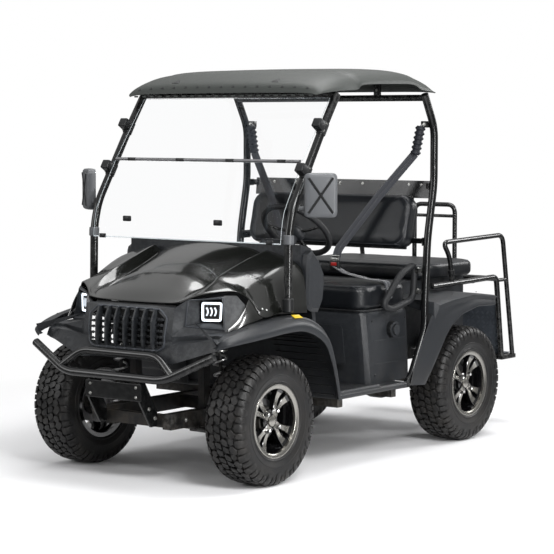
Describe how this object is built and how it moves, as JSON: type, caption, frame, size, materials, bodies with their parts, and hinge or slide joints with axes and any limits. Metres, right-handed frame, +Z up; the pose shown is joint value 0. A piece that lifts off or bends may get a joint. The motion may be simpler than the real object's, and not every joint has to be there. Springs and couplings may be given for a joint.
{
  "type": "golf cart",
  "caption": "Lifted petrol golf cart with a bull-bar nose, fold-down clear screen, roof, front bench and a rear-facing bench with footrest and grab rails; steered front wheels.",
  "frame": {"origin": "on the ground, at the middle of the overall length and width", "axes": "+Z up; the cart faces -Y; +X is the cart's left, the driver's side"},
  "size_m": [1.5224, 2.7414, 1.877],
  "materials": {
    "chassis_steel": "satin black chassis paint",
    "black_steel": "gloss black powder coat",
    "body_paint": "dark olive-charcoal metallic gloss",
    "body_plastic": "matt charcoal grain",
    "roof_plastic": "matt grey-green grain",
    "lamp_glass": "clear lens over dark reflector",
    "black_vinyl": "black vinyl, fine grain",
    "steering_grip": "soft black grip",
    "bare_alloy": "plain cast and forged steel",
    "rim_alloy": "machined face with black pockets",
    "tyre_rubber": "matt black",
    "clear_screen": "clear polycarbonate",
    "mirror_shell": "mid grey moulding",
    "belt_boot": "black corrugated boot and webbing",
    "tread_plate": "raised tread plate"
  },
  "bodies": {
    "chassis": {"main_frame": "chassis_steel", "front_suspension": "chassis_steel", "rear_axle": "chassis_steel", "engine": "chassis_steel", "front_bumper": "black_steel", "front_hoop": "black_steel", "rear_hoop": "black_steel", "rear_seat_frame": "black_steel", "seat_back_frame": "black_steel", "hood": "body_paint", "front_cowl": "body_plastic", "front_fender_left": "body_plastic", "front_fender_right": "body_plastic", "rear_fender_left": "body_plastic", "rear_fender_right": "body_plastic", "seat_base": "body_plastic", "rear_body": "body_plastic", "dash": "body_plastic", "floor": "body_plastic", "roof": "roof_plastic", "headlamp_left": "lamp_glass", "headlamp_right": "lamp_glass", "seat_cushion": "black_vinyl", "seat_back": "black_vinyl", "rear_seat_back": "black_vinyl", "windscreen_lower": "clear_screen", "windscreen_upper": "clear_screen", "mirror_left": "mirror_shell", "mirror_right": "mirror_shell", "seat_belt_left": "belt_boot", "seat_belt_right": "belt_boot", "footrest": "tread_plate"},
    "steering_wheel": {"steering_wheel": "steering_grip"},
    "steering_rack": {"steering_rack": "bare_alloy"},
    "knuckle_left": {"knuckle_left": "bare_alloy"},
    "knuckle_right": {"knuckle_right": "bare_alloy"},
    "wheel_front_left": {"tyre_front_left": "tyre_rubber", "rim_front_left": "rim_alloy"},
    "wheel_front_right": {"tyre_front_right": "tyre_rubber", "rim_front_right": "rim_alloy"},
    "wheel_rear_left": {"tyre_rear_left": "tyre_rubber", "rim_rear_left": "rim_alloy"},
    "wheel_rear_right": {"tyre_rear_right": "tyre_rubber", "rim_rear_right": "rim_alloy"},
    "rear_seat": {"rear_seat_cushion": "black_vinyl"}
  },
  "joints": [
    {"name": "steering", "type": "hinge", "parent": "chassis", "child": "steering_wheel", "pos_m": [0.27, -0.3515, 1.105], "axis": [0, 0.682, 0.7314], "range_deg": [-400, 400]},
    {"name": "rack_slide", "type": "slide", "parent": "chassis", "child": "steering_rack", "axis": [1, 0, 0], "range_m": [-0.053, 0.053]},
    {"name": "kingpin_left", "type": "hinge", "parent": "chassis", "child": "knuckle_left", "pos_m": [0.405, -0.9515, 0.291], "axis": [0, 0, 1], "range_deg": [-25.1, 25.1]},
    {"name": "wheel_spin_front_left", "type": "hinge", "parent": "knuckle_left", "child": "wheel_front_left", "pos_m": [0.515, -0.9515, 0.291], "axis": [1, 0, 0], "continuous": true},
    {"name": "kingpin_right", "type": "hinge", "parent": "chassis", "child": "knuckle_right", "pos_m": [-0.405, -0.9515, 0.291], "axis": [0, 0, 1], "range_deg": [-25.1, 25.1]},
    {"name": "wheel_spin_front_right", "type": "hinge", "parent": "knuckle_right", "child": "wheel_front_right", "pos_m": [-0.515, -0.9515, 0.291], "axis": [1, 0, 0], "continuous": true},
    {"name": "wheel_spin_rear_left", "type": "hinge", "parent": "chassis", "child": "wheel_rear_left", "pos_m": [0.505, 0.6965, 0.291], "axis": [1, 0, 0], "continuous": true},
    {"name": "wheel_spin_rear_right", "type": "hinge", "parent": "chassis", "child": "wheel_rear_right", "pos_m": [-0.505, 0.6965, 0.291], "axis": [1, 0, 0], "continuous": true},
    {"name": "rear_seat_lift", "type": "hinge", "parent": "chassis", "child": "rear_seat", "pos_m": [0, 0.5085, 0.82], "axis": [1, 0, 0], "range_deg": [0, 60]}
  ],
  "couplings": [
    {"joint": "rack_slide", "follows": "steering", "m_per_rad": -0.00745},
    {"joint": "kingpin_left", "follows": "steering", "ratio": 0.0625},
    {"joint": "kingpin_right", "follows": "steering", "ratio": 0.0625}
  ]
}
